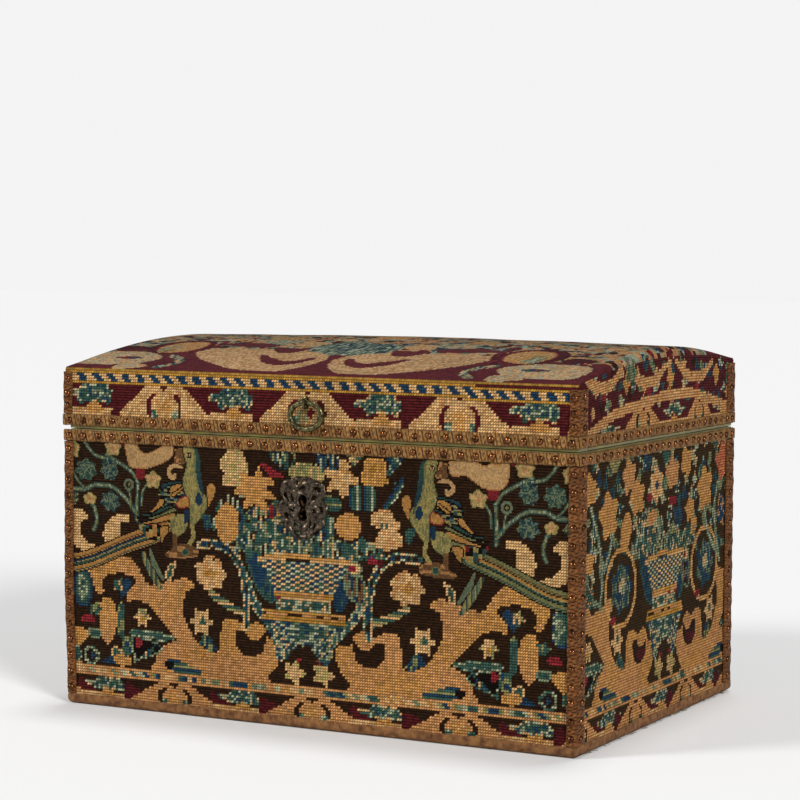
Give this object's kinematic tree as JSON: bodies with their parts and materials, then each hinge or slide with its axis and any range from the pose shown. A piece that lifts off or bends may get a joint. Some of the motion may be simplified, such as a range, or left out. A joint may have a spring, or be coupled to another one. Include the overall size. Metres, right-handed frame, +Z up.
{
  "type": "needlework casket",
  "caption": "Small wooden casket with a bowed hinged lid, covered in canvas needlework, bound with nailed braid, lined with silk, with a lock and a ring pull.",
  "frame": {"origin": "on the floor under the middle of the casket, at the middle of the flat underside", "axes": "+X along the front from left to right, +Y from the front to the hinged back, +Z up"},
  "size_m": [0.3626, 0.2692, 0.2376],
  "materials": {
    "oak": "plain sawn oak",
    "needlework": "wool and silk canvas stitches",
    "braid": "woven tan braid",
    "silk": "yellow-green silk",
    "linen": "unbleached linen",
    "tape": "brown galloon tape",
    "iron": "dark patinated iron",
    "bronze": "dark greenish bronze",
    "brass": "aged brass"
  },
  "bodies": {
    "case": {"carcase_front_board": "oak", "carcase_back_board": "oak", "carcase_left_board": "oak", "carcase_right_board": "oak", "carcase_bottom_board": "oak", "needlework_front": "needlework", "needlework_back": "needlework", "needlework_left": "needlework", "needlework_right": "needlework", "top_braid_front": "braid", "top_braid_back": "braid", "top_braid_left": "braid", "top_braid_right": "braid", "corner_braid_front_left": "braid", "corner_braid_front_right": "braid", "corner_braid_left_front": "braid", "corner_braid_right_front": "braid", "corner_braid_back_left": "braid", "corner_braid_back_right": "braid", "base_tape": "tape", "underside_linen": "linen", "lining_front": "silk", "lining_back": "silk", "lining_left": "silk", "lining_right": "silk", "lining_floor": "silk", "escutcheon": "iron", "lock_case": "iron", "lock_spring": "iron", "hinge_left_body_leaf": "brass", "hinge_right_body_leaf": "brass", "hinge_left_pin": "brass", "hinge_right_pin": "brass"},
    "lid": {"lid_front_rail": "oak", "lid_back_rail": "oak", "lid_left_end": "oak", "lid_right_end": "oak", "lid_top_board": "oak", "lid_needlework": "needlework", "lid_rim_braid_front": "braid", "lid_rim_braid_back": "braid", "lid_rim_braid_left": "braid", "lid_rim_braid_right": "braid", "lid_corner_braid_front_left": "braid", "lid_corner_braid_front_right": "braid", "lid_corner_braid_left_front": "braid", "lid_corner_braid_right_front": "braid", "lid_corner_braid_back_left": "braid", "lid_corner_braid_back_right": "braid", "lid_lining_front": "silk", "lid_lining_back": "silk", "lid_lining_left": "silk", "lid_lining_right": "silk", "lid_lining_top": "silk", "lock_staple": "iron", "ring_staple": "bronze", "hinge_left_lid_leaf": "brass", "hinge_right_lid_leaf": "brass"},
    "ring_pull": {"pull_ring": "bronze"},
    "bolt": {"lock_bolt": "iron"}
  },
  "joints": [
    {"name": "lid_hinge", "type": "hinge", "parent": "case", "child": "lid", "pos_m": [0, 0.1283, 0.17885], "axis": [-1, 0, 0], "range_deg": [0, 105]},
    {"name": "ring_swing", "type": "hinge", "parent": "lid", "child": "ring_pull", "pos_m": [0, -0.1337, 0.2018], "axis": [-1, 0, 0], "range_deg": [0, 170]},
    {"name": "bolt_slide", "type": "slide", "parent": "case", "child": "bolt", "axis": [1, 0, 0], "range_m": [0, 0.008]}
  ]
}
